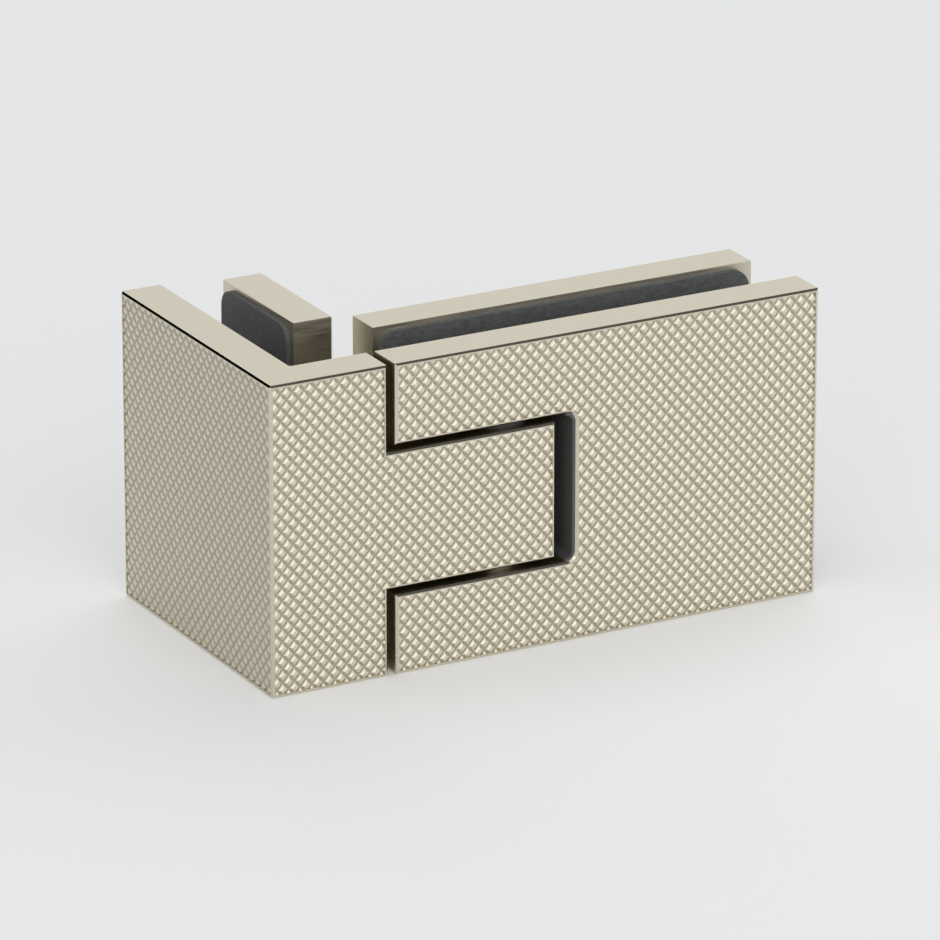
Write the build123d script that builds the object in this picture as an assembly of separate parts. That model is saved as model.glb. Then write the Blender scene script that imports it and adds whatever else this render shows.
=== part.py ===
from build123d import *
import os
from math import sqrt

# A lift hinge for two glass panes that meet at a right angle.
# Millimetres. X runs along the closed door leaf, Y along the side pane to the inside, Z up the pivot.
# Every piece is drawn from the hinge's outer corner, and placed on the centre of its footprint at the end.

# Overall sizes, from the outer corner
LEAF_REACH = 95.0
SIDE_REACH = 50.0
HEIGHT = 50.0

# The stack across each pane, from the outside in
PLATE = 6.8
GASKET = 0.8
GLASS = 8.0
CLAMP_PLATE = 6.8

# Outer faces: small edge chamfers, and fields sunk to the root of the knurl
EDGE = 0.3
KNURL_RIM = 0.5
KNURL_DEPTH = 0.35
INNER_ROUND = 0.5

# Tongue of the corner body, and the recess of the leaf round it
SEAM_AT = 19.8
SEAM = 1.4
TONGUE_REACH = 28.95
TONGUE_HEIGHT = 22.0
TONGUE_BACK = 14.6
TONGUE_ROOT = 4.2
TONGUE_GAP = 1.1
END_GAP = 3.6
RECESS_ROUND = 1.6
LINER = 0.5
SWEEP_CLEAR = 0.8

# Pivot axis, pin and bushes
PIVOT_INSET = 7.25
PIVOT_DEPTH = 6.2
PIN_D = 7.0
PIN_TAIL = 6.0
PIN_FLAT = 2.6
SHOULDER_STEP = 0.8
BUSH_WALL = 1.0
LOWER_BUSH = 5.0
UPPER_BUSH = 4.0
RUNNING = 0.05
END_PLAY = 0.1

# Lift: the leaf climbs by LIFT while it turns through SWING degrees
LIFT = 0.8
SWING = 110.0
CAM_D = 10.0
CAM_BASE = 4.0
CAM_SINK = 1.2
CAM_SEAT = 2.2
CAM_FLAT = 4.3
CAM_GAP = 0.08
CAM_STEP_GAP = 2.0

# Bearing blocks behind the arms of the leaf
BLOCK_WIDTH = 20.0
BLOCK_HEIGHT = 7.5
BLOCK_DEPTH = 6.0
BLOCK_ROUND = 1.5
BLOCK_SCREW_PITCH = 14.0
SEAT_SPARE = 0.3

# Inner clamp plates, gaskets and the notch of the door pane
CLAMP_INSET = 2.5
SIDE_CLAMP_START = 24.0
DOOR_CLAMP_START = 26.0
GASKET_INSET = 0.8
GASKET_ROUND = 3.0
NOTCH_MARGIN = 1.4
NOTCH_ROUND = 2.5

# Screws: clamp screws, block screws and the set screw of the fixed cam
CLAMP_SCREW_D = 6.0
CLAMP_HEAD_D = 11.3
CLAMP_SOCKET = 4.0
CLAMP_SOCKET_DEPTH = 2.2
CLAMP_SCREW_PITCH = 25.0
CLAMP_THREAD = 4.0
SIDE_SCREW_Y = 35.75
DOOR_SCREW_X = 72.0
BLOCK_SCREW_D = 3.0
BLOCK_HEAD_D = 5.6
BLOCK_SOCKET = 2.0
BLOCK_SOCKET_DEPTH = 1.2
BLOCK_THREAD = 3.6
GRUB_D = 4.0
GRUB_SOCKET = 2.0
GRUB_SOCKET_DEPTH = 1.5
THREAD_GAP = 0.05
HOLE_SPARE = 0.5
SCREW_HOLE_GAP = 0.3
SLEEVE_WALL = 1.7
SLEEVE_GAP = 0.2

# Places that follow from the sizes above
GLASS_FACE = PLATE + GASKET
CLAMP_FACE = GLASS_FACE + GLASS + GASKET
CLAMP_BACK = CLAMP_FACE + CLAMP_PLATE
LEAF_START = SEAM_AT + SEAM
TONGUE_END = SEAM_AT + TONGUE_REACH
RECESS_END = TONGUE_END + END_GAP
TONGUE_LOW = (HEIGHT - TONGUE_HEIGHT) / 2
TONGUE_TOP = TONGUE_LOW + TONGUE_HEIGHT
ARM_LOW = TONGUE_LOW - TONGUE_GAP
ARM_TOP = TONGUE_TOP + TONGUE_GAP
PIVOT_X = TONGUE_END - PIVOT_INSET
PIVOT = Pos(PIVOT_X, PIVOT_DEPTH, 0)
PIN_R = PIN_D / 2
BUSH_R = PIN_R + RUNNING + BUSH_WALL
CAM_R = CAM_D / 2
CAM_RISE = LIFT * 180 / SWING
CAM_TOP = TONGUE_TOP - CAM_SINK
CAM_LOW = CAM_TOP - CAM_RISE - CAM_BASE
SHOULDER_LOW = TONGUE_LOW + LOWER_BUSH + END_PLAY
SHOULDER_TOP = CAM_LOW - UPPER_BUSH - END_PLAY
LEAF_CAM_TOP = ARM_TOP + CAM_SEAT
LOW_SEAT = TONGUE_LOW - PIN_TAIL - LIFT - SEAT_SPARE
TOP_SEAT = TONGUE_TOP + PIN_TAIL + SEAT_SPARE
NOTCH_END = RECESS_END + NOTCH_MARGIN
NOTCH_LOW = ARM_LOW - BLOCK_HEIGHT - NOTCH_MARGIN
NOTCH_TOP = ARM_TOP + BLOCK_HEIGHT + NOTCH_MARGIN
SLEEVE_R = CLAMP_SCREW_D / 2 + SCREW_HOLE_GAP + SLEEVE_WALL
SCREW_LEVELS = [HEIGHT / 2 - CLAMP_SCREW_PITCH / 2, HEIGHT / 2 + CLAMP_SCREW_PITCH / 2]

# Drawing planes: FRONT shows X and Z from the outside, SIDE shows -Y and Z from the outside
FRONT = Plane(origin=(0, 0, 0), x_dir=(1, 0, 0), z_dir=(0, -1, 0))
SIDE = Plane(origin=(0, 0, 0), x_dir=(0, -1, 0), z_dir=(-1, 0, 0))

# Round solids stand on the ground plane, and the cutters of holes hang below it
STANDING = (Align.CENTER, Align.CENTER, Align.MIN)
HANGING = (Align.CENTER, Align.CENTER, Align.MAX)


def rectangle(x0, x1, y0, y1):
    """A rectangle between two corners of its plane."""
    return Pos((x0 + x1) / 2, (y0 + y1) / 2) * Rectangle(x1 - x0, y1 - y0)


def rounded(x0, x1, y0, y1, radius):
    """A rectangle with rounded corners."""
    return Pos((x0 + x1) / 2, (y0 + y1) / 2) * RectangleRounded(x1 - x0, y1 - y0, radius)


def slab(plane, profile, start, thickness):
    """The profile as a slab that lies from start to start + thickness behind its plane."""
    return extrude(plane.offset(-start) * profile, -thickness)


def rod(radius, low, top):
    """A round bar on the pivot axis between two heights."""
    return PIVOT * Pos(0, 0, low) * Cylinder(radius, top - low, align=STANDING)


def half_space(offset, low, top):
    """Everything behind a flat that stands at offset from the pivot axis, between two heights."""
    size = CAM_D * 2
    aligned = (Align.CENTER, Align.MIN, Align.MIN)
    return PIVOT * Pos(0, offset, low) * Box(size, size, top - low, align=aligned)


def countersunk(diameter, head, length, socket, socket_depth):
    """A countersunk screw that stands on its tip, with the flat of its head at the top."""
    cone = (head - diameter) / 2
    profile = Polyline(
        (0, 0),
        (diameter / 2, 0),
        (diameter / 2, length - cone),
        (head / 2, length),
        (0, length),
        close=True,
    )
    screw = revolve(make_face(Plane.XZ * profile), Axis.Z)
    hexagon = Pos(0, 0, length) * RegularPolygon(socket / 2, 6, major_radius=False)
    return screw - extrude(hexagon, -socket_depth)


def countersink(diameter, head, depth):
    """The cutter of a countersunk hole, with its mouth on the ground plane and its run downwards."""
    cone = (head - diameter) / 2
    hole = Cylinder(diameter / 2, depth, align=HANGING)
    return hole + Cone(diameter / 2, head / 2, cone, align=HANGING)


def blind(diameter, depth):
    """The cutter of a tapped blind hole, with its mouth on the ground plane."""
    return Cylinder(diameter / 2, depth, align=HANGING)


def facing_in(place_x, place_y, place_z, along_y):
    """A place whose own Z looks to the inside, along Y for the door pane or along X for the side pane."""
    direction = (0, 1, 0) if along_y else (1, 0, 0)
    return Plane(origin=(place_x, place_y, place_z), x_dir=(0, 0, 1), z_dir=direction).location


def screw_places(along_y, depth):
    """The axes of a pane's two clamp screws, at a depth behind the outer face."""
    if along_y:
        return [facing_in(DOOR_SCREW_X, depth, level, True) for level in SCREW_LEVELS]
    return [facing_in(depth, SIDE_SCREW_Y, level, False) for level in SCREW_LEVELS]


def block_screw_places(depth):
    """The axes of the four bearing block screws, lower pair first."""
    levels = [ARM_LOW - BLOCK_HEIGHT / 2, ARM_TOP + BLOCK_HEIGHT / 2]
    sides = [PIVOT_X - BLOCK_SCREW_PITCH / 2, PIVOT_X + BLOCK_SCREW_PITCH / 2]
    return [facing_in(x, depth, level, True) for level in levels for x in sides]


def front_edges(solid, axis):
    """The edges round the outermost flat face along an axis."""
    return solid.faces().sort_by(axis)[0].outer_wire().edges()


def tongue_profile():
    """The tongue from above: square in front, rounded about the pivot behind to clear the clamp plate."""
    back_reach = TONGUE_BACK - PIVOT_DEPTH
    sweep = CLAMP_FACE - PIVOT_DEPTH - SWEEP_CLEAR
    arc_start = (PIVOT_X + sqrt(sweep**2 - back_reach**2), TONGUE_BACK)
    arc_end = (TONGUE_END, PIVOT_DEPTH + sqrt(sweep**2 - PIVOT_INSET**2))
    arc = RadiusArc(arc_start, arc_end, sweep)
    rest = Polyline(
        arc_end,
        (TONGUE_END, 0),
        (SEAM_AT - PLATE, 0),
        (SEAM_AT - PLATE, PLATE),
        (SEAM_AT + TONGUE_ROOT, PLATE),
        (SEAM_AT + TONGUE_ROOT, TONGUE_BACK),
        arc_start,
    )
    return make_face(arc + rest)


def make_corner_body():
    """Side plate, short front return and tongue, machined from one piece."""
    ell = make_face(
        Polyline(
            (0, 0),
            (SEAM_AT, 0),
            (SEAM_AT, PLATE),
            (PLATE, PLATE),
            (PLATE, SIDE_REACH),
            (0, SIDE_REACH),
            close=True,
        )
    )
    inner = ell.vertices().sort_by_distance((PLATE, PLATE))[0]
    body = extrude(fillet(inner, INNER_ROUND), HEIGHT)
    body += Pos(0, 0, TONGUE_LOW) * extrude(tongue_profile(), TONGUE_HEIGHT)
    body = chamfer(front_edges(body, Axis.Y), EDGE)
    left = [edge for edge in front_edges(body, Axis.X) if edge.center().Y > PLATE]
    body = chamfer(left, EDGE)

    return_face = rectangle(0, SEAM_AT, 0, HEIGHT)
    tongue_face = rectangle(0, TONGUE_END, TONGUE_LOW, TONGUE_TOP)
    field = offset(return_face + tongue_face, -KNURL_RIM, kind=Kind.INTERSECTION)
    body -= slab(FRONT, field, 0, KNURL_DEPTH)
    side_field = rectangle(KNURL_RIM - SIDE_REACH, -KNURL_RIM, KNURL_RIM, HEIGHT - KNURL_RIM)
    body -= slab(SIDE, side_field, 0, KNURL_DEPTH)

    body -= rod(BUSH_R + RUNNING, TONGUE_LOW, CAM_LOW)
    body -= rod(CAM_R + RUNNING, CAM_LOW, TONGUE_TOP)
    grub_hole = Cylinder(GRUB_D / 2 + THREAD_GAP, TONGUE_BACK - PIVOT_DEPTH, align=STANDING)
    body -= facing_in(PIVOT_X, PIVOT_DEPTH, CAM_LOW + CAM_BASE / 2, True) * grub_hole
    for place in screw_places(False, PLATE):
        body -= place * blind(CLAMP_SCREW_D + 2 * THREAD_GAP, CLAMP_THREAD + HOLE_SPARE)
    return body


def recess_outline(inset):
    """The recess for the tongue from the front, open to the seam, with its walls set in by an inset."""
    recess = rectangle(LEAF_START, RECESS_END - inset, ARM_LOW + inset, ARM_TOP - inset)
    return fillet(recess.vertices().group_by(Axis.X)[-1], RECESS_ROUND - inset)


def leaf_outline():
    """The leaf from the front: a plate with the recess cut out of it."""
    return rectangle(LEAF_START, LEAF_REACH, 0, HEIGHT) - recess_outline(0)


def make_leaf_body():
    """The door's outer plate, with half seats for the pin and the leaf cam in its arms."""
    outline = leaf_outline()
    body = slab(FRONT, outline, 0, PLATE)
    body = chamfer(front_edges(body, Axis.Y), EDGE)
    body -= slab(FRONT, offset(outline, -KNURL_RIM, kind=Kind.INTERSECTION), 0, KNURL_DEPTH)
    body -= rod(PIN_R + RUNNING, LOW_SEAT, ARM_LOW)
    body -= rod(PIN_R + RUNNING, ARM_TOP, TOP_SEAT)
    body -= rod(CAM_R + RUNNING, ARM_TOP, LEAF_CAM_TOP)
    for place in screw_places(True, PLATE):
        body -= place * blind(CLAMP_SCREW_D + 2 * THREAD_GAP, CLAMP_THREAD + HOLE_SPARE)
    for place in block_screw_places(PLATE):
        body -= place * blind(BLOCK_SCREW_D + 2 * THREAD_GAP, BLOCK_THREAD + HOLE_SPARE)
    return body


def make_recess_liner():
    """The dark strip on the end wall of the recess, which follows its rounded corners."""
    end_strip = rectangle(RECESS_END - RECESS_ROUND, RECESS_END, ARM_LOW, ARM_TOP)
    profile = end_strip & recess_outline(0) - recess_outline(LINER)
    return slab(FRONT, profile, EDGE, PLATE - EDGE)


def make_bearing_block(low, keyed_cam):
    """A block screwed behind one arm: it closes the pin's seat and keys it by a flat."""
    half = BLOCK_WIDTH / 2
    profile = rounded(PIVOT_X - half, PIVOT_X + half, low, low + BLOCK_HEIGHT, BLOCK_ROUND)
    block = slab(FRONT, profile, PLATE, BLOCK_DEPTH)
    seat = rod(PIN_R + RUNNING, LOW_SEAT, TOP_SEAT) - half_space(PIN_FLAT + RUNNING, 0, HEIGHT)
    block -= seat
    if keyed_cam:
        block -= rod(CAM_R + RUNNING, low, LEAF_CAM_TOP) - half_space(CAM_FLAT + RUNNING, low, LEAF_CAM_TOP)
    for place in block_screw_places(PLATE + BLOCK_DEPTH):
        block -= place * countersink(BLOCK_SCREW_D + 2 * SCREW_HOLE_GAP, BLOCK_HEAD_D, BLOCK_DEPTH)
    return block


def make_pivot_pin():
    """A stepped pin: its shoulder is trapped between the bushes, its tails have flats for the leaf."""
    low = TONGUE_LOW - PIN_TAIL
    top = TONGUE_TOP + PIN_TAIL
    pin = rod(PIN_R, low, top)
    pin = chamfer(pin.edges().filter_by(GeomType.CIRCLE), EDGE)
    pin += rod(PIN_R + SHOULDER_STEP, SHOULDER_LOW, SHOULDER_TOP)
    pin -= half_space(PIN_FLAT, low, TONGUE_LOW - RUNNING)
    pin -= half_space(PIN_FLAT, LEAF_CAM_TOP - SEAT_SPARE, top)
    return pin


def make_bush(low, length):
    """A plain nylon bush pressed into the tongue."""
    return rod(BUSH_R, low, low + length) - rod(PIN_R + RUNNING, low, low + length)


def ramp_pair(upwards):
    """Two helical wedges, half a turn each, that lie above or below the ramps of the fixed cam."""
    pitch = 2 * CAM_RISE
    path = Helix(pitch, CAM_RISE, CAM_R, lefthand=True)
    span = CAM_RISE * 2 if upwards else -CAM_RISE * 2
    reach = CAM_D
    corners = Polyline(
        (reach, 0, 0),
        (reach, 0, span),
        (PIN_R / 2, 0, span),
        (PIN_R / 2, 0, 0),
        close=True,
    )
    wedge = sweep(make_face(corners), path=path, is_frenet=True)
    return [wedge, Rot(0, 0, 180) * wedge]


def make_fixed_cam():
    """The cam ring in the tongue: two ramps that climb as the leaf opens, each ended by a step."""
    cam = rod(CAM_R, CAM_LOW, CAM_TOP) - rod(PIN_R + RUNNING * 2, CAM_LOW, CAM_TOP)
    for wedge in ramp_pair(True):
        cam -= PIVOT * Pos(0, 0, CAM_LOW + CAM_BASE) * wedge
    return cam


def make_leaf_cam():
    """The cam ring under the upper arm, which rides on the fixed cam and is keyed by a flat."""
    low = CAM_LOW + CAM_BASE
    cam = rod(CAM_R, low, LEAF_CAM_TOP) - rod(PIN_R + RUNNING * 2, low, LEAF_CAM_TOP)
    climb = CAM_RISE * CAM_STEP_GAP / 180 + CAM_GAP
    for wedge in ramp_pair(False):
        cam -= PIVOT * Pos(0, 0, low + climb) * Rot(0, 0, -CAM_STEP_GAP) * wedge
    return cam - half_space(CAM_FLAT, ARM_TOP, LEAF_CAM_TOP)


def make_grub_screw():
    """The set screw that holds the fixed cam from the back of the tongue."""
    length = TONGUE_BACK - PIVOT_DEPTH - CAM_R - EDGE
    screw = Cylinder(GRUB_D / 2, length, align=STANDING)
    hexagon = Pos(0, 0, length) * RegularPolygon(GRUB_SOCKET / 2, 6, major_radius=False)
    screw -= extrude(hexagon, -GRUB_SOCKET_DEPTH)
    return facing_in(PIVOT_X, PIVOT_DEPTH + CAM_R, CAM_LOW + CAM_BASE / 2, True) * screw


def make_clamp_plate(plane, start, end, along_y):
    """An inner clamp plate with countersunk holes, its inside edges chamfered."""
    plate = slab(plane, rectangle(start, end, 0, HEIGHT), CLAMP_FACE, CLAMP_PLATE)
    outermost = Axis.Y if along_y else Axis.X
    plate = chamfer(plate.faces().sort_by(outermost)[-1].outer_wire().edges(), EDGE)
    for place in screw_places(along_y, CLAMP_BACK):
        plate -= place * countersink(CLAMP_SCREW_D + 2 * SCREW_HOLE_GAP, CLAMP_HEAD_D, CLAMP_PLATE)
    return plate


def make_gasket(plane, profile, depth, along_y):
    """A flat gasket with holes that let the screw sleeves through."""
    sheet = slab(plane, profile, depth, GASKET)
    for place in screw_places(along_y, depth):
        sheet -= place * Cylinder(SLEEVE_R + SLEEVE_GAP, 4 * GASKET)
    return sheet


def side_gasket_profile(start):
    """A side gasket from the outside, with rounded corners."""
    end = GASKET_INSET - SIDE_REACH
    return rounded(end, -start, GASKET_INSET, HEIGHT - GASKET_INSET, GASKET_ROUND)


def door_gasket_profile(start, end):
    """A door gasket from the outside, with the notch of the pane cut out of it."""
    whole = rounded(start, end, GASKET_INSET, HEIGHT - GASKET_INSET, GASKET_ROUND)
    notch = rectangle(start - GASKET_ROUND, NOTCH_END, NOTCH_LOW, NOTCH_TOP)
    return whole - fillet(notch.vertices().group_by(Axis.X)[-1], NOTCH_ROUND)


def make_clamp_screws(along_y):
    """A pane's two clamp screws, from the inner plate into the outer plate."""
    length = CLAMP_BACK - PLATE + CLAMP_THREAD
    screw = countersunk(CLAMP_SCREW_D, CLAMP_HEAD_D, length, CLAMP_SOCKET, CLAMP_SOCKET_DEPTH)
    return [place * screw for place in screw_places(along_y, PLATE - CLAMP_THREAD)]


def make_sleeves(along_y):
    """Nylon sleeves that keep the clamp screws off the glass."""
    length = CLAMP_FACE - PLATE
    sleeve = Cylinder(SLEEVE_R, length, align=STANDING)
    sleeve -= Cylinder(CLAMP_SCREW_D / 2 + SCREW_HOLE_GAP, length, align=STANDING)
    return [place * sleeve for place in screw_places(along_y, PLATE)]


def make_block_screws():
    """The four screws of the bearing blocks."""
    screw = countersunk(
        BLOCK_SCREW_D, BLOCK_HEAD_D, BLOCK_DEPTH + BLOCK_THREAD, BLOCK_SOCKET, BLOCK_SOCKET_DEPTH
    )
    return [place * screw for place in block_screw_places(PLATE - BLOCK_THREAD)]


side_clamp_end = CLAMP_INSET - SIDE_REACH
door_clamp_end = LEAF_REACH - CLAMP_INSET
side_outer = side_gasket_profile(GLASS_FACE + GASKET_INSET)
side_inner = rounded(
    side_clamp_end + GASKET_INSET,
    -SIDE_CLAMP_START - GASKET_INSET,
    GASKET_INSET,
    HEIGHT - GASKET_INSET,
    GASKET_ROUND,
)
door_outer = door_gasket_profile(LEAF_START + GASKET_INSET, LEAF_REACH - GASKET_INSET)
door_inner = door_gasket_profile(DOOR_CLAMP_START + GASKET_INSET, door_clamp_end - GASKET_INSET)

nodes = {
    "corner_body": make_corner_body(),
    "side_outer_gasket": make_gasket(SIDE, side_outer, PLATE, False),
    "side_inner_gasket": make_gasket(SIDE, side_inner, GLASS_FACE + GLASS, False),
    "side_clamp_plate": make_clamp_plate(SIDE, side_clamp_end, -SIDE_CLAMP_START, False),
    "side_clamp_screws": make_clamp_screws(False),
    "side_screw_sleeves": make_sleeves(False),
    "lower_bush": make_bush(TONGUE_LOW, LOWER_BUSH),
    "upper_bush": make_bush(CAM_LOW - UPPER_BUSH, UPPER_BUSH),
    "fixed_lift_cam": make_fixed_cam(),
    "cam_grub_screw": make_grub_screw(),
    "pivot_pin": make_pivot_pin(),
    "leaf_body": make_leaf_body(),
    "recess_liner": make_recess_liner(),
    "leaf_lift_cam": make_leaf_cam(),
    "upper_bearing_block": make_bearing_block(ARM_TOP, True),
    "lower_bearing_block": make_bearing_block(ARM_LOW - BLOCK_HEIGHT, False),
    "bearing_block_screws": make_block_screws(),
    "door_outer_gasket": make_gasket(FRONT, door_outer, PLATE, True),
    "door_inner_gasket": make_gasket(FRONT, door_inner, GLASS_FACE + GLASS, True),
    "door_clamp_plate": make_clamp_plate(FRONT, DOOR_CLAMP_START, door_clamp_end, True),
    "door_clamp_screws": make_clamp_screws(True),
    "door_screw_sleeves": make_sleeves(True),
}

to_centre = Pos(-LEAF_REACH / 2, -SIDE_REACH / 2, 0)
os.makedirs("parts", exist_ok=True)
for name, shape in nodes.items():
    pieces = shape if isinstance(shape, list) else [shape]
    placed = Compound(children=[to_centre * solid for piece in pieces for solid in piece.solids()])
    export_step(placed, f"parts/{name}.step")
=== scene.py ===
import math
from collections import namedtuple

import bmesh
import bpy
from bpy.props import FloatProperty, FloatVectorProperty, IntProperty, PointerProperty
from mathutils import Matrix, Vector
from mathutils.geometry import intersect_point_line


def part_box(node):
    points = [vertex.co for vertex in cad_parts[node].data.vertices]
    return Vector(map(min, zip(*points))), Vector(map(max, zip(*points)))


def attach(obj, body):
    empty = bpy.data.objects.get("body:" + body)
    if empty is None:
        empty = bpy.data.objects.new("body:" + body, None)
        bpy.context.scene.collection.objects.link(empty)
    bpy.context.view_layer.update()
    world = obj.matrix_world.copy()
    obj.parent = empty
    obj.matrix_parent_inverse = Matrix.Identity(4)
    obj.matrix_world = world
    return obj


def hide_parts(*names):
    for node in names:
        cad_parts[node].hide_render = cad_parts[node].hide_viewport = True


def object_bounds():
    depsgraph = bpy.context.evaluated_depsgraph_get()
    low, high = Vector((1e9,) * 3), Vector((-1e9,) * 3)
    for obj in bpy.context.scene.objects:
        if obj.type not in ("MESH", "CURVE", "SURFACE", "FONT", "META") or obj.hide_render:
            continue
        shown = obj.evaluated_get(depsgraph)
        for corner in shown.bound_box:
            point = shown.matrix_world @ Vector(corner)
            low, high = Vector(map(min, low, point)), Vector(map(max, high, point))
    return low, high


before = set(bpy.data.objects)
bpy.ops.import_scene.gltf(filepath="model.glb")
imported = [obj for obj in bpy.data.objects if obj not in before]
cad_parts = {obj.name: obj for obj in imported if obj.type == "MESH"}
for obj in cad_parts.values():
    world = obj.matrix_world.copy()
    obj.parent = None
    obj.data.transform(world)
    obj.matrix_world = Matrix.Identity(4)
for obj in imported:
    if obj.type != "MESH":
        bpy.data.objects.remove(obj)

bl_info = {
    "name": "Lift hinge finish",
    "version": (1, 0, 0),
    "blender": (4, 5, 0),
    "location": "View3D > Sidebar > Lift Hinge",
    "description": "Knurled faces, turned screws, finishes and a studio for a corner lift hinge",
    "category": "Object",
}

# Places on the hinge, in metres: its box, those of its two bodies and of the liner at the recess end,
# the front of the door's inner plate, and the lower and upper faces of the tongue
HINGE_LOW, HINGE_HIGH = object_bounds()
CORNER_LOW, CORNER_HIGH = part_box("corner_body")
LEAF_LOW, LEAF_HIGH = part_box("leaf_body")
LINER_LOW, LINER_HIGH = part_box("recess_liner")
CLAMP_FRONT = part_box("door_clamp_plate")[0].y
TONGUE_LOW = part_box("lower_bush")[0].z
TONGUE_TOP = CORNER_HIGH.z - TONGUE_LOW

# From a face's own plane, right, up and out, to the hinge: the front looks along -Y, the side along -X
FRONT = Matrix(((1, 0, 0, 0), (0, 0, -1, CORNER_LOW.y), (0, 1, 0, 0), (0, 0, 0, 1)))
SIDE = Matrix(((0, 0, -1, CORNER_LOW.x), (-1, 0, 0, 0), (0, 1, 0, 0), (0, 0, 0, 1)))

PLATE_NODES = ("corner_body", "leaf_body", "side_clamp_plate", "door_clamp_plate")
BLOCK_NODES = ("upper_bearing_block", "lower_bearing_block")
PIN_NODES = ("pivot_pin", "cam_grub_screw")
GASKET_NODES = ("side_outer_gasket", "side_inner_gasket", "door_outer_gasket", "door_inner_gasket")
SLEEVE_NODES = ("side_screw_sleeves", "door_screw_sleeves", "lower_bush", "upper_bush")
CAM_NODES = ("fixed_lift_cam", "leaf_lift_cam")

HEIGHT_LAYER = "knurl_height"
RADIUS_LAYER = "turned_radius"

# Axes that the screws lie along
ALONG_X = 0
ALONG_Y = 1

# Sizes of one kind of screw
Screw = namedtuple("Screw", "head shank socket socket_depth pitch")

# Usual form of a screw: depth, foot and crest of the thread as shares of its pitch, the drilled point
# as a share of half the socket, the socket's sides, and the straight steps in a rounded rim
THREAD_SHARE = 0.6
FOOT_SHARE = 0.9
CREST_SHARE = 0.15
DRILL_POINT = 0.5
HEX_SIDES = 6
RIM_STEPS = 6

# Brushing marks on the plating: length, width, and how far they change its shade and its roughness
BRUSH_LENGTH = 0.007
BRUSH_WIDTH = 0.00018
BRUSH_SHADE = 0.05
BRUSH_ROUGHNESS = 0.09

# Plating on the knurl: how far its roughness varies, and the share of its height where the points,
# with their painted highlight, begin
KNURL_ROUGHNESS = 0.06
POINT_START = 0.85

# Size of the marks in each finish, in metres: along X, Y and Z, or the same all ways
CUTTER_MARK = (0.004, 0.004, 0.00025)
GROUND_MARK = (0.0015, 0.0015, 0.00012)
RUBBER_FIBRE = (0.0009, 0.0003, 0.0004)
KNURL_CLOUD = 0.0006
KNURL_GRAIN = 0.00015
NYLON_CLOUD = 0.002
NYLON_GRAIN = 0.0004
ACETAL_GRAIN = 0.0008

# Noise: most of it lies between these values, and this is the usual detail of fine marks
NOISE_LOW = 0.3
NOISE_HIGH = 0.7
FINE_DETAIL = 3.0

# Largest part of a normal along an axis: on a chamfer, and on a face that counts as flat
CHAMFER_NORMAL = 0.75
FLAT_NORMAL = 0.97

# Walls of the gaps that get painted shade: how little they look forwards, and how many skins the seam
# and the fade take
WALL_NORMAL = 0.5
SEAM_SKINS = 4
FADE_SKINS = 2

# Stage: straight steps round the floor, and a flag's reach with its soft edge, in spreads
FLOOR_STEPS = 128
FLAG_EDGE = 1.25

# Vertices that lie closer than this are one, and edges that turn by more than this stay sharp
MERGE = 1e-7
SHARP_ANGLE = math.radians(30)


class KnurlSettings(bpy.types.PropertyGroup):
    """Sizes of the diamond knurl on the outer faces."""

    width: FloatProperty(
        name="Diamond width",
        description="Width of one diamond from side to side",
        default=0.00198,
        min=0.0005,
        unit="LENGTH",
        precision=5,
    )
    height: FloatProperty(
        name="Diamond height",
        description="Height of one diamond from corner to corner",
        default=0.0022,
        min=0.0005,
        unit="LENGTH",
        precision=5,
    )
    depth: FloatProperty(
        name="Depth",
        description="Depth of the sunk fields, from the rim to their floor",
        default=0.00035,
        min=0.0001,
        unit="LENGTH",
        precision=5,
    )
    relief: FloatProperty(
        name="Relief",
        description="Height of the diamonds above the roots between them",
        default=0.00026,
        min=0.0001,
        unit="LENGTH",
        precision=5,
    )
    rim: FloatProperty(
        name="Rim",
        description="Plain rim between a field and the edges of its face",
        default=0.0005,
        min=0.0,
        unit="LENGTH",
        precision=5,
    )
    seam: FloatProperty(
        name="Seam",
        description="Width of the seam between the corner body and the leaf",
        default=0.0014,
        min=0.0,
        unit="LENGTH",
        precision=5,
    )
    groove: FloatProperty(
        name="Groove",
        description="Width of the flat root between two diamonds",
        default=0.00012,
        min=0.0,
        unit="LENGTH",
        precision=5,
    )
    point: FloatProperty(
        name="Point",
        description="Width of the small flat on top of each diamond",
        default=0.0006,
        min=0.0,
        unit="LENGTH",
        precision=5,
    )
    clearance: FloatProperty(
        name="Clearance",
        description="How far the points stay under the rim, and the foot goes into the field's floor",
        default=0.00001,
        min=0.0,
        unit="LENGTH",
        precision=6,
    )
    arc_steps: IntProperty(
        name="Arc steps",
        description="Straight steps in each rounded corner of a field",
        default=8,
        min=2,
    )


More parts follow.
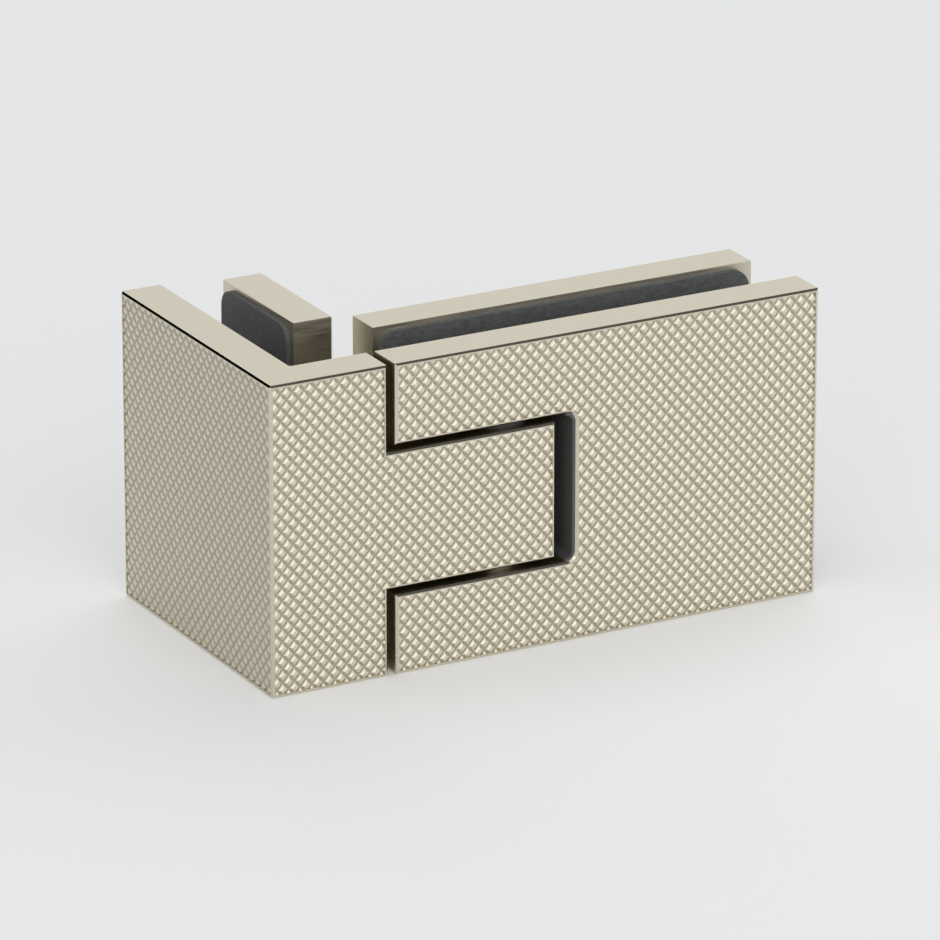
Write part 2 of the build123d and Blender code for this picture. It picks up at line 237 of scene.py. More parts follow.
class ScrewSettings(bpy.types.PropertyGroup):
    """Sizes of the countersunk screws of the clamp plates and of the bearing blocks."""

    clamp_head: FloatProperty(
        name="Clamp screw head",
        description="Diameter of a clamp screw's head",
        default=0.0113,
        min=0.001,
        unit="LENGTH",
        precision=5,
    )
    clamp_shank: FloatProperty(
        name="Clamp screw shank",
        description="Diameter of a clamp screw over its thread",
        default=0.006,
        min=0.001,
        unit="LENGTH",
        precision=5,
    )
    clamp_socket: FloatProperty(
        name="Clamp screw socket",
        description="Size of a clamp screw's hex socket across its flats",
        default=0.004,
        min=0.0005,
        unit="LENGTH",
        precision=5,
    )
    clamp_socket_depth: FloatProperty(
        name="Clamp screw socket depth",
        description="Depth of a clamp screw's hex socket",
        default=0.0022,
        min=0.0005,
        unit="LENGTH",
        precision=5,
    )
    clamp_pitch: FloatProperty(
        name="Clamp screw pitch",
        description="Rise of a clamp screw's thread in one turn",
        default=0.001,
        min=0.0001,
        unit="LENGTH",
        precision=5,
    )
    block_head: FloatProperty(
        name="Block screw head",
        description="Diameter of a block screw's head",
        default=0.0056,
        min=0.001,
        unit="LENGTH",
        precision=5,
    )
    block_shank: FloatProperty(
        name="Block screw shank",
        description="Diameter of a block screw over its thread",
        default=0.003,
        min=0.001,
        unit="LENGTH",
        precision=5,
    )
    block_socket: FloatProperty(
        name="Block screw socket",
        description="Size of a block screw's hex socket across its flats",
        default=0.002,
        min=0.0005,
        unit="LENGTH",
        precision=5,
    )
    block_socket_depth: FloatProperty(
        name="Block screw socket depth",
        description="Depth of a block screw's hex socket",
        default=0.0012,
        min=0.0005,
        unit="LENGTH",
        precision=5,
    )
    block_pitch: FloatProperty(
        name="Block screw pitch",
        description="Rise of a block screw's thread in one turn",
        default=0.0005,
        min=0.0001,
        unit="LENGTH",
        precision=5,
    )
    rim_round: FloatProperty(
        name="Rim round",
        description="Radius that softens the rim of a head",
        default=0.00014,
        min=0.00001,
        unit="LENGTH",
        precision=6,
    )
    socket_edge: FloatProperty(
        name="Socket edge",
        description="Chamfer at the mouth of a hex socket",
        default=0.0002,
        min=0.00001,
        unit="LENGTH",
        precision=6,
    )
    round_steps: IntProperty(
        name="Round steps",
        description="Straight steps round a screw, a multiple of six",
        default=48,
        min=12,
        step=6,
    )


class FinishSettings(bpy.types.PropertyGroup):
    """Colours and gloss of the hinge's materials."""

    champagne: FloatVectorProperty(
        name="Champagne metal",
        description="Plating of the bodies and clamp plates",
        default=(0.67, 0.622, 0.505),
        min=0.0,
        max=1.0,
        subtype="COLOR",
    )
    champagne_roughness: FloatProperty(
        name="Champagne roughness",
        description="Mean roughness of the satin plating",
        default=0.38,
        min=0.0,
        max=1.0,
        subtype="FACTOR",
    )
    edge_roughness: FloatProperty(
        name="Edge roughness",
        description="Roughness of the polished edge chamfers",
        default=0.16,
        min=0.0,
        max=1.0,
        subtype="FACTOR",
    )
    # Painted shade and painted highlight: the knurl's colour is darker in its roots and lighter on its
    # points, standing in for light and shade on the relief
    root_painted_shade: FloatProperty(
        name="Root shade",
        description="How dark the roots of the knurl are, against its points",
        default=0.68,
        min=0.0,
        max=1.0,
        subtype="FACTOR",
    )
    point_painted_highlight: FloatProperty(
        name="Point shade",
        description="How light the rubbed points of the knurl are, against the plain plating",
        default=1.14,
        min=0.0,
    )
    # Painted shade: the colour of the walls in the gaps is darkened to stand in for the shade that
    # falls in them
    gap_painted_shade: FloatVectorProperty(
        name="Gap shade",
        description="Share of the plating's colour that the dull walls of the gaps keep",
        default=(0.46, 0.41, 0.26),
        min=0.0,
        max=1.0,
        subtype="COLOR",
    )
    gap_skin: FloatProperty(
        name="Gap skin",
        description="Depth below the outer faces within which the plating keeps its colour",
        default=0.0004,
        min=0.0001,
        unit="LENGTH",
        precision=5,
    )
    block_metal: FloatVectorProperty(
        name="Block metal",
        description="Machined brass of the bearing blocks",
        default=(0.5, 0.46, 0.37),
        min=0.0,
        max=1.0,
        subtype="COLOR",
    )
    steel: FloatVectorProperty(
        name="Stainless steel",
        description="Screws and pivot pin",
        default=(0.55, 0.55, 0.54),
        min=0.0,
        max=1.0,
        subtype="COLOR",
    )
    ring_width: FloatProperty(
        name="Ring width",
        description="Width of the fine rings that a lathe leaves on a screw",
        default=0.00025,
        min=0.00001,
        unit="LENGTH",
        precision=6,
    )
    gasket: FloatVectorProperty(
        name="Gasket",
        description="Grey gasket sheet behind the plates",
        default=(0.12, 0.125, 0.125),
        min=0.0,
        max=1.0,
        subtype="COLOR",
    )
    liner: FloatVectorProperty(
        name="Liner",
        description="Grey liner at the end of the recess",
        default=(0.094, 0.095, 0.097),
        min=0.0,
        max=1.0,
        subtype="COLOR",
    )
    nylon: FloatVectorProperty(
        name="Nylon",
        description="Sleeves and bushes",
        default=(0.62, 0.61, 0.57),
        min=0.0,
        max=1.0,
        subtype="COLOR",
    )
    acetal: FloatVectorProperty(
        name="Acetal",
        description="Black lift cams",
        default=(0.03, 0.03, 0.032),
        min=0.0,
        max=1.0,
        subtype="COLOR",
    )


class StageSettings(bpy.types.PropertyGroup):
    """Camera, floor and lights."""

    camera_place: FloatVectorProperty(
        name="Camera place",
        description="Where the camera stands, from the middle of the hinge's foot",
        default=(-0.581, -1.068, 0.4655),
        subtype="TRANSLATION",
        unit="LENGTH",
    )
    aim_height: FloatProperty(
        name="Aim height",
        description="Height above the floor of the point at the middle of the picture",
        default=0.0205,
        unit="LENGTH",
        precision=4,
    )
    lens: FloatProperty(
        name="Lens",
        description="Focal length of the camera, in millimetres",
        default=320.0,
        min=1.0,
    )
    floor_radius: FloatProperty(
        name="Floor radius",
        description="Radius of the round floor",
        default=4.0,
        unit="LENGTH",
    )
    floor_colour: FloatVectorProperty(
        name="Floor colour",
        description="Pale floor under the hinge",
        default=(0.925, 0.935, 0.945),
        min=0.0,
        max=1.0,
        subtype="COLOR",
    )
    floor_gap: FloatProperty(
        name="Floor gap",
        description="How far the floor lies under the hinge, so that they never share a plane",
        default=0.00003,
        min=0.0,
        unit="LENGTH",
        precision=6,
    )
    floor_lift: FloatProperty(
        name="Floor lift",
        description="White added to the floor where it is seen or mirrored, with no light from it",
        default=0.125,
        min=0.0,
    )
    sky: FloatProperty(
        name="Sky",
        description="Strength of the even white light all round",
        default=0.95,
        min=0.0,
    )
    key_place: FloatVectorProperty(
        name="Key place",
        description="Where the large softbox stands, in front of the hinge and above it",
        default=(-0.35, -1.35, 0.66),
        subtype="TRANSLATION",
        unit="LENGTH",
    )
    key_width: FloatProperty(
        name="Key width",
        description="Width of the large softbox",
        default=2.0,
        min=0.01,
        unit="LENGTH",
    )
    key_height: FloatProperty(
        name="Key height",
        description="Height of the large softbox",
        default=1.2,
        min=0.01,
        unit="LENGTH",
    )
    key_power: FloatProperty(
        name="Key power",
        description="Power of the large softbox, in watts",
        default=4.9,
        min=0.0,
    )
    flag_above: FloatVectorProperty(
        name="Flag above",
        description="Direction of the black flag that the upper edges of the front mirror",
        default=(0.463, -0.342, 0.818),
        subtype="DIRECTION",
    )
    flag_above_light: FloatProperty(
        name="Flag above, light",
        description="Share of the sky's light that comes through the flag above",
        default=0.12,
        min=0.0,
        max=1.0,
        subtype="FACTOR",
    )
    flag_behind: FloatVectorProperty(
        name="Flag behind",
        description="Direction of the black flag that the upper edge of the side mirrors",
        default=(-0.342, 0.818, 0.463),
        subtype="DIRECTION",
    )
    flag_spread: FloatProperty(
        name="Flag spread",
        description="Half the angle that a flag covers",
        default=math.radians(24),
        subtype="ANGLE",
    )
    scrim: FloatVectorProperty(
        name="Scrim",
        description="Direction of the grey scrim that the knurl of the side mirrors",
        default=(-0.95, 0.1, 0.3),
        subtype="DIRECTION",
    )
    scrim_spread: FloatProperty(
        name="Scrim spread",
        description="Half the angle that the scrim covers",
        default=math.radians(34),
        subtype="ANGLE",
    )
    scrim_light: FloatProperty(
        name="Scrim light",
        description="Share of the sky's light that comes through the scrim",
        default=0.58,
        min=0.0,
        max=1.0,
        subtype="FACTOR",
    )


def outline_sides(outline):
    """The straight sides of a closed outline, as pairs of points."""
    return zip(outline, outline[1:] + outline[:1])


def within(outline, point):
    """Whether a point lies inside a closed outline: an odd number of its sides lie to the right."""
    crossed = 0
    for start, end in outline_sides(outline):
        if (start.y > point.y) != (end.y > point.y):
            share = (point.y - start.y) / (end.y - start.y)
            crossed += point.x < start.x + share * (end.x - start.x)
    return crossed % 2 == 1


def side_distance(point, start, end):
    """How far a point lies from one side of an outline."""
    nearest, share = intersect_point_line(point, start, end)
    if share < 0:
        nearest = start
    elif share > 1:
        nearest = end
    return (point - nearest).length


def rectangle(left, right, low, top):
    """The four corners of a rectangle, counter-clockwise."""
    return [Vector((left, low)), Vector((right, low)), Vector((right, top)), Vector((left, top))]


def arc(centre_x, centre_y, radius, start, end, steps):
    """Points on an arc between two angles in degrees."""
    angles = [math.radians(start + (end - start) * step / steps) for step in range(steps + 1)]
    return [Vector((centre_x + radius * math.cos(a), centre_y + radius * math.sin(a))) for a in angles]


def corner_front_outline(knurl):
    """The knurled field on the corner's short return and on its tongue."""
    seam_left = LEAF_LOW.x - knurl.seam - knurl.rim
    left = CORNER_LOW.x + knurl.rim
    right = CORNER_HIGH.x - knurl.rim
    short = rectangle(left, seam_left, CORNER_LOW.z + knurl.rim, CORNER_HIGH.z - knurl.rim)
    tongue = rectangle(seam_left, right, TONGUE_LOW + knurl.rim, TONGUE_TOP - knurl.rim)
    return short[:2] + tongue + short[2:]


def corner_side_outline(knurl):
    """The knurled field on the corner's side plate, seen from the side, where right is -Y."""
    return rectangle(
        -CORNER_HIGH.y + knurl.rim,
        -CORNER_LOW.y - knurl.rim,
        CORNER_LOW.z + knurl.rim,
        CORNER_HIGH.z - knurl.rim,
    )


def leaf_outline(knurl):
    """The knurled field on the leaf, round the recess with its rounded corners."""
    round_size = LINER_HIGH.x - LINER_LOW.x
    radius = round_size + knurl.rim
    left = LEAF_LOW.x + knurl.rim
    right = LEAF_HIGH.x - knurl.rim
    low = LEAF_LOW.z + knurl.rim
    top = LEAF_HIGH.z - knurl.rim
    arm_low = LINER_LOW.z - knurl.rim
    arm_top = LINER_HIGH.z + knurl.rim
    upper = arc(LINER_LOW.x, LINER_HIGH.z - round_size, radius, 90, 0, knurl.arc_steps)
    lower = arc(LINER_LOW.x, LINER_LOW.z + round_size, radius, 0, -90, knurl.arc_steps)
    outer = rectangle(left, right, low, top)
    return outer + [Vector((left, arm_top))] + upper + lower + [Vector((left, arm_low))]


def diamond_grid(bm, outline, knurl):
    """A square grid stood on its corner and stretched to diamonds, on one lattice for all fields."""
    left, right = min(p.x for p in outline), max(p.x for p in outline)
    low, top = min(p.y for p in outline), max(p.y for p in outline)
    across = round((left + right) / knurl.width)
    up = round((low + top) / knurl.height)
    up += (across + up) % 2
    count = 2 + math.ceil((right - left) / knurl.width + (top - low) / knurl.height)
    count += count % 2
    stretch = Matrix.Diagonal((knurl.width / math.sqrt(2), knurl.height / math.sqrt(2), 1, 1))
    middle = Matrix.Translation((across * knurl.width / 2, up * knurl.height / 2, 0))
    place = middle @ stretch @ Matrix.Rotation(math.pi / 4, 4, "Z")
    bmesh.ops.create_grid(bm, x_segments=count, y_segments=count, size=count / 2, matrix=place)
    far = [
        face
        for face in bm.faces
        if not left - knurl.width < face.calc_center_median().x < right + knurl.width
        or not low - knurl.height < face.calc_center_median().y < top + knurl.height
    ]
    bmesh.ops.delete(bm, geom=far, context="FACES")


def diamond_thickness(knurl):
    """The distance between two opposite sides of a diamond."""
    return knurl.width * knurl.height / math.hypot(knurl.width, knurl.height)


def raise_diamonds(bm, knurl):
    """Each square becomes a flat root line and a four-sided point with a small flat on top."""
    cells = bm.faces[:]
    bmesh.ops.inset_individual(bm, faces=cells, thickness=knurl.groove / 2, use_even_offset=True)
    slope = (diamond_thickness(knurl) - knurl.groove - knurl.point) / 2
    bmesh.ops.inset_individual(
        bm, faces=cells, thickness=slope, depth=knurl.relief, use_even_offset=True
    )


def trim_to_outline(bm, outline, knurl):
    """Cuts the grid along every side of an outline and drops what lies outside."""
    for start, end in outline_sides(outline):
        near = [
            face
            for face in bm.faces
            if side_distance(face.calc_center_median().xy, start, end) < knurl.height
        ]
        edges = {edge for face in near for edge in face.edges}
        corners = {vert for face in near for vert in face.verts}
        along = end - start
        bmesh.ops.bisect_plane(
            bm,
            geom=near + list(edges) + list(corners),
            dist=MERGE,
            plane_co=start.to_3d(),
            plane_no=(along.y, -along.x, 0),
        )
    outside = [face for face in bm.faces if not within(outline, face.calc_center_median().xy)]
    bmesh.ops.delete(bm, geom=outside, context="FACES")


def extrude_loop(bm, edges):
    """Extrudes a closed loop, and gives the vertices and the edges of the new one."""
    grown = bmesh.ops.extrude_edge_only(bm, edges=edges)["geom"]
    verts = {item for item in grown if isinstance(item, bmesh.types.BMVert)}
    edges = [item for item in grown if isinstance(item, bmesh.types.BMEdge)]
    return list(verts), [edge for edge in edges if verts.issuperset(edge.verts)]


def close_below(bm, base):
    """Walls down from the open border, and a floor that closes the piece."""
    border = [edge for edge in bm.edges if edge.is_boundary]
    verts, ring = extrude_loop(bm, border)
    for vert in verts:
        vert.co.z = base
    bmesh.ops.triangle_fill(bm, use_beauty=True, edges=ring)


def finished_piece(name, bm, material):
    """A piece at the origin with a material, from a bmesh that is then freed."""
    mesh = bpy.data.meshes.new(name)
    bm.to_mesh(mesh)
    bm.free()
    mesh.materials.append(material)
    piece = bpy.data.objects.new(name, mesh)
    bpy.context.collection.objects.link(piece)
    return piece


def make_knurl(name, outline, place, body, knurl, material):
    """One knurled field as a closed piece that sits in its sunk field."""
    bm = bmesh.new()
    diamond_grid(bm, outline, knurl)
    raise_diamonds(bm, knurl)
    trim_to_outline(bm, outline, knurl)
    layer = bm.verts.layers.float.new(HEIGHT_LAYER)
    for vert in bm.verts:
        vert[layer] = vert.co.z / knurl.relief
    close_below(bm, knurl.relief - knurl.depth)
    bmesh.ops.remove_doubles(bm, verts=bm.verts[:], dist=MERGE)
    bmesh.ops.recalc_face_normals(bm, faces=bm.faces[:])
    root = Matrix.Translation((0, 0, -knurl.clearance - knurl.relief))
    bmesh.ops.transform(bm, matrix=place @ root, verts=bm.verts[:])
    piece = finished_piece(name, bm, material)
    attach(piece, body)


def grow_loop(bm, edges, scale, rise):
    """Extrudes a closed loop about the Z axis, scaled and moved along it, and gives the new loop."""
    verts, loop = extrude_loop(bm, edges)
    bmesh.ops.scale(bm, vec=(scale, scale, 1), verts=verts)
    bmesh.ops.translate(bm, vec=(0, 0, rise), verts=verts)
    return loop


def draw_profile(bm, points, closed=False):
    """A line through points that are given by radius and height, as vertices and edges."""
    verts = [bm.verts.new((radius, 0, height)) for radius, height in points]
    ends = verts[1:] + verts[:1] if closed else verts[1:]
    return verts + [bm.edges.new(pair) for pair in zip(verts, ends)]


def thread_depth(screw):
    """How deep a thread of a usual form is cut."""
    return THREAD_SHARE * screw.pitch


def turn_head_and_shank(bm, screw, length, sizes):
    """The outside of a countersunk screw, with its flat on the ground plane and its mouth open."""
    half_head = screw.head / 2
    half_shank = screw.shank / 2
    cone = half_head - half_shank
    thread = thread_depth(screw)
    # The cone leaves the flat at 45 degrees, and the rim rounds the corner between them
    lip = half_head - sizes.rim_round / math.tan(math.pi / 8)
    rim = arc(lip, -sizes.rim_round, sizes.rim_round, 90, -45, RIM_STEPS)
    neck = -cone - screw.pitch
    profile = [
        *rim,
        (half_shank, -cone),
        (half_shank, neck),
        (half_shank - thread, neck - thread),
        (half_shank - thread, thread - length),
        (half_shank - 2 * thread, -length),
        (0, -length),
    ]
    bmesh.ops.spin(
        bm,
        geom=draw_profile(bm, profile),
        cent=(0, 0, 0),
        axis=(0, 0, 1),
        angle=2 * math.pi,
        steps=sizes.round_steps,
        use_merge=True,
    )


def cut_socket(bm, screw, sizes):
    """The hex socket, from a chamfered mouth on the ground plane down to a drilled point."""
    flats = screw.socket / 2
    mouth = (flats + sizes.socket_edge) / math.cos(math.pi / HEX_SIDES)
    bmesh.ops.create_circle(bm, segments=HEX_SIDES, radius=mouth)
    sides = [edge for edge in bm.edges if edge.is_wire]
    bmesh.ops.subdivide_edges(bm, edges=sides, cuts=sizes.round_steps // HEX_SIDES - 1)
    ring = [edge for edge in bm.edges if edge.is_wire]
    wall = grow_loop(bm, ring, flats / (flats + sizes.socket_edge), -sizes.socket_edge)
    floor = grow_loop(bm, wall, 1, sizes.socket_edge - screw.socket_depth)
    grow_loop(bm, floor, 0, -flats * DRILL_POINT)
    return ring


def wind_thread(bm, screw, length, sizes):
    """A ridge wound round the shank as one closed helix, its foot sunk into the shank."""
    crest = screw.shank / 2
    foot = crest - thread_depth(screw) - sizes.rim_round
    low = screw.pitch - length
    turns = math.floor((-low - (screw.head - screw.shank) / 2 - screw.pitch) / screw.pitch)
    half_foot = screw.pitch * FOOT_SHARE / 2
    half_crest = screw.pitch * CREST_SHARE / 2
    section = (
        (foot, low - half_foot),
        (crest, low - half_crest),
        (crest, low + half_crest),
        (foot, low + half_foot),
    )
    steps = sizes.round_steps // 2
    bmesh.ops.spin(
        bm,
        geom=draw_profile(bm, section, closed=True),
        cent=(0, 0, 0),
        axis=(0, 0, 1),
        dvec=(0, 0, screw.pitch / steps),
        angle=2 * math.pi * turns,
        steps=steps * turns,
    )
    bmesh.ops.holes_fill(bm, edges=[edge for edge in bm.edges if edge.is_boundary])


def turn_screw(screw, length, sizes):
    """One screw on the Z axis, with the flat of its head on the ground plane and its tip below."""
    bm = bmesh.new()
    turn_head_and_shank(bm, screw, length, sizes)
    bmesh.ops.remove_doubles(bm, verts=bm.verts[:], dist=MERGE)
    flat = [edge for edge in bm.edges if edge.is_boundary]
    bmesh.ops.bridge_loops(bm, edges=flat + cut_socket(bm, screw, sizes))
    bmesh.ops.remove_doubles(bm, verts=bm.verts[:], dist=MERGE)
    wind_thread(bm, screw, length, sizes)
    bmesh.ops.recalc_face_normals(bm, faces=bm.faces[:])
    layer = bm.verts.layers.float.new(RADIUS_LAYER)
    for vert in bm.verts:
        vert[layer] = vert.co.xy.length
    mesh = bpy.data.meshes.new("turned_screw")
    bm.to_mesh(mesh)
    bm.free()
    return mesh


def screw_sizes(sizes, kind):
    """The sizes of one kind of screw, clamp or block."""
    return Screw(*[getattr(sizes, f"{kind}_{size}") for size in Screw._fields])


def screw_places(node, axis, head):
    """Places on the head flats of a node's screws: their own Z looks along an axis, their own Y up."""
    low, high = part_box(node)
    across = 1 - axis
    outwards = Vector((0, 0, 0))
    outwards[axis] = 1
    upwards = Vector((0, 0, 1))
    facing = Matrix((upwards.cross(outwards), upwards, outwards)).transposed().to_4x4()
    first = low[across] + head / 2
    last = high[across] - head / 2
    sides = (first, last) if last - first > head else (first,)
    places = []
    for level in (low.z + head / 2, high.z - head / 2):
        for side in sides:
            point = Vector((0, 0, level))
            point[across] = side
            point[axis] = high[axis]
            places.append(Matrix.Translation(point) @ facing)
    return places


def make_screws(name, node, axis, body, screw, sizes, material):
    """A group of like screws that stands for a node of the same screws."""
    low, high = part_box(node)
    pattern = turn_screw(screw, high[axis] - low[axis], sizes)
    bm = bmesh.new()
    for place in screw_places(node, axis, screw.head):
        count = len(bm.verts)
        bm.from_mesh(pattern)
        bmesh.ops.transform(bm, matrix=place, verts=bm.verts[count:])
    bpy.data.meshes.remove(pattern)
    piece = finished_piece(name, bm, material)
    piece.data.shade_smooth()
    piece.data.set_sharp_from_angle(angle=SHARP_ANGLE)
    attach(piece, body)
    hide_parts(node)


def new_material(name, metallic=0.0):
    """A material with its node tree and its shader."""
    material = bpy.data.materials.new(name)
    material.use_nodes = True
    shader = material.node_tree.nodes["Principled BSDF"]
    shader.inputs["Metallic"].default_value = metallic
    return material, material.node_tree, shader


def evenly(size):
    """The same size along X, Y and Z."""
    return (size, size, size)


def grain(tree, size, detail=FINE_DETAIL):
    """Noise on the piece's own coordinates, whose grains have a size along X, Y and Z in metres."""
    coordinates = tree.nodes.new("ShaderNodeTexCoord")
    mapping = tree.nodes.new("ShaderNodeMapping")
    noise = tree.nodes.new("ShaderNodeTexNoise")
    mapping.inputs["Scale"].default_value = [1 / length for length in size]
    noise.inputs["Scale"].default_value = 1.0
    noise.inputs["Detail"].default_value = detail
    tree.links.new(coordinates.outputs["Object"], mapping.inputs["Vector"])
    tree.links.new(mapping.outputs["Vector"], noise.inputs["Vector"])
    return noise.outputs["Fac"]


def attribute(tree, layer):
    """A value that the piece's own mesh carries."""
    node = tree.nodes.new("ShaderNodeAttribute")
    node.attribute_name = layer
    return node.outputs["Fac"]


def spread(tree, value, low, high, start=NOISE_LOW, end=NOISE_HIGH):
    """A value between start and end, spread over a range from low to high."""
    node = tree.nodes.new("ShaderNodeMapRange")
    node.inputs["From Min"].default_value = start
    node.inputs["From Max"].default_value = end
    node.inputs["To Min"].default_value = low
    node.inputs["To Max"].default_value = high
    tree.links.new(value, node.inputs["Value"])
    return node.outputs["Result"]


def tint(tree, value, dark, light, start=NOISE_LOW, end=NOISE_HIGH):
    """A colour that runs from dark to light as a value runs from start to end."""
    node = tree.nodes.new("ShaderNodeValToRGB")
    node.color_ramp.elements[0].position = start
    node.color_ramp.elements[0].color = (*dark, 1)
    node.color_ramp.elements[1].position = end
    node.color_ramp.elements[1].color = (*light, 1)
    tree.links.new(value, node.inputs["Fac"])
    return node.outputs["Color"]


def worked_out(tree, operation, *values):
    """The result of a math operation on values, each of them a socket or a number."""
    node = tree.nodes.new("ShaderNodeMath")
    node.operation = operation
    for socket, value in zip(node.inputs, values):
        if isinstance(value, bpy.types.NodeSocket):
            tree.links.new(value, socket)
        else:
            socket.default_value = value
    return node.outputs["Value"]


def combined(tree, operation, values):
    """Several values joined by one operation, such as their product or the largest of them."""
    result = values[0]
    for value in values[1:]:
        result = worked_out(tree, operation, result, value)
    return result


def inside(tree, value, low, high):
    """One where a value lies between two limits, and zero elsewhere."""
    return worked_out(tree, "COMPARE", value, (low + high) / 2, (high - low) / 2)


def shaded(colour, factor):
    """A colour made darker or lighter by a factor."""
    return [min(1.0, channel * factor) for channel in colour]


def follow(tree, shader, marks, base, shades, roughness):
    """Colour and roughness of a shader that follow the same marks."""
    dark, light = (shaded(base, share) for share in shades)
    tree.links.new(tint(tree, marks, dark, light), shader.inputs["Base Color"])
    tree.links.new(spread(tree, marks, *roughness), shader.inputs["Roughness"])


def roughen(tree, shader, marks, strength, height):
    """Bump on a shader from marks with a height in metres."""
    bump = tree.nodes.new("ShaderNodeBump")
    bump.inputs["Strength"].default_value = strength
    bump.inputs["Distance"].default_value = height
    tree.links.new(marks, bump.inputs["Height"])
    tree.links.new(bump.outputs["Normal"], shader.inputs["Normal"])


def parts(tree, vector):
    """The parts of a vector along X, Y and Z."""
    node = tree.nodes.new("ShaderNodeSeparateXYZ")
    tree.links.new(vector, node.inputs["Vector"])
    return node.outputs[:]


def face_normal(tree):
    """The direction that a face looks in, with no bump and no smoothing."""
    return tree.nodes.new("ShaderNodeNewGeometry").outputs["True Normal"]


def flatness(tree):
    """One on faces that look straight along an axis, less on chamfers and rounds."""
    absolute = tree.nodes.new("ShaderNodeVectorMath")
    absolute.operation = "ABSOLUTE"
    tree.links.new(face_normal(tree), absolute.inputs[0])
    return combined(tree, "MAXIMUM", parts(tree, absolute.outputs["Vector"]))


def brushing_marks(tree):
    """Fine brushing, level on upright faces and along X on faces that look up or down."""
    upwards = parts(tree, face_normal(tree))[2]
    mix = tree.nodes.new("ShaderNodeMix")
    tree.links.new(worked_out(tree, "ABSOLUTE", upwards), mix.inputs["Factor"])
    tree.links.new(grain(tree, (BRUSH_LENGTH, BRUSH_LENGTH, BRUSH_WIDTH)), mix.inputs["A"])
    tree.links.new(grain(tree, (BRUSH_LENGTH, BRUSH_WIDTH, BRUSH_LENGTH)), mix.inputs["B"])
    return mix.outputs["Result"]


def gap_painted_shade_mask(tree, finish):
    """Mask of the painted shade: one on the walls of the seam and of the gaps round the tongue, and
    zero near the front.
    """
    x, y, z = parts(tree, tree.nodes.new("ShaderNodeTexCoord").outputs["Object"])
    forwards = parts(tree, face_normal(tree))[1]
    skin = finish.gap_skin
    front = CORNER_LOW.y + skin
    limits = (
        inside(tree, forwards, -WALL_NORMAL, WALL_NORMAL),
        inside(tree, x, LEAF_LOW.x - SEAM_SKINS * skin, LINER_HIGH.x + skin),
        inside(tree, z, LEAF_LOW.z + skin, LEAF_HIGH.z - skin),
        inside(tree, y, front, CLAMP_FRONT),
        spread(tree, y, 0.0, 1.0, start=front, end=front + FADE_SKINS * skin),
    )
    return combined(tree, "MULTIPLY", limits)


def champagne_plating(finish):
    """Satin champagne plating, brushed level, with polished chamfers and painted shade on the walls of
    the gaps.
    """
    material, tree, shader = new_material("champagne_plating", metallic=1.0)
    brushing = brushing_marks(tree)
    dark = shaded(finish.champagne, 1 - BRUSH_SHADE)
    light = shaded(finish.champagne, 1 + BRUSH_SHADE)
    # Painted shade: the plating's colour is multiplied down on the walls of the gaps, where shade
    # falls
    colour_with_painted_shade = tree.nodes.new("ShaderNodeVectorMath")
    colour_with_painted_shade.operation = "MULTIPLY"
    shade = tint(tree, gap_painted_shade_mask(tree, finish), (1, 1, 1), finish.gap_painted_shade, start=0.0, end=1.0)
    tree.links.new(tint(tree, brushing, dark, light), colour_with_painted_shade.inputs[0])
    tree.links.new(shade, colour_with_painted_shade.inputs[1])
    tree.links.new(colour_with_painted_shade.outputs["Vector"], shader.inputs["Base Color"])
    mean = finish.champagne_roughness
    satin = spread(tree, brushing, mean - BRUSH_ROUGHNESS, mean + BRUSH_ROUGHNESS)
    edges = tree.nodes.new("ShaderNodeMapRange")
    edges.inputs["From Min"].default_value = CHAMFER_NORMAL
    edges.inputs["From Max"].default_value = FLAT_NORMAL
    edges.inputs["To Min"].default_value = finish.edge_roughness
    tree.links.new(flatness(tree), edges.inputs["Value"])
    tree.links.new(satin, edges.inputs["To Max"])
    tree.links.new(edges.outputs["Result"], shader.inputs["Roughness"])
    roughen(tree, shader, brushing, strength=0.3, height=0.00004)
    return material


def knurl_plating(finish):
    """The same plating on the knurl, with painted shade towards the roots and a painted highlight on
    the points.
    """
    material, tree, shader = new_material("knurl_plating", metallic=1.0)
    # Painted shade in the roots and a painted highlight on the points, following the height of the
    # relief
    dark = shaded(finish.champagne, finish.root_painted_shade)
    light = shaded(finish.champagne, finish.point_painted_highlight)
    colour = tint(tree, attribute(tree, HEIGHT_LAYER), dark, light, start=0.0, end=POINT_START)
    tree.links.new(colour, shader.inputs["Base Color"])
    mean = finish.champagne_roughness
    cloud = grain(tree, evenly(KNURL_CLOUD))
    roughness = spread(tree, cloud, mean - KNURL_ROUGHNESS, mean + KNURL_ROUGHNESS)
    tree.links.new(roughness, shader.inputs["Roughness"])
    pores = grain(tree, evenly(KNURL_GRAIN), detail=2.0)
    roughen(tree, shader, pores, strength=0.1, height=0.00003)
    return material


def machined_brass(finish):
    """Plain machined brass with fine cutter marks."""
    material, tree, shader = new_material("machined_brass", metallic=1.0)
    marks = grain(tree, CUTTER_MARK)
    follow(tree, shader, marks, finish.block_metal, shades=(0.88, 1.06), roughness=(0.28, 0.46))
    roughen(tree, shader, marks, strength=0.2, height=0.00005)
    return material


def stainless_steel(finish):
    """Stainless steel with a fine ground grain."""
    material, tree, shader = new_material("stainless_steel", metallic=1.0)
    ground = grain(tree, GROUND_MARK)
    follow(tree, shader, ground, finish.steel, shades=(0.93, 1.05), roughness=(0.22, 0.36))
    roughen(tree, shader, ground, strength=0.12, height=0.00003)
    return material


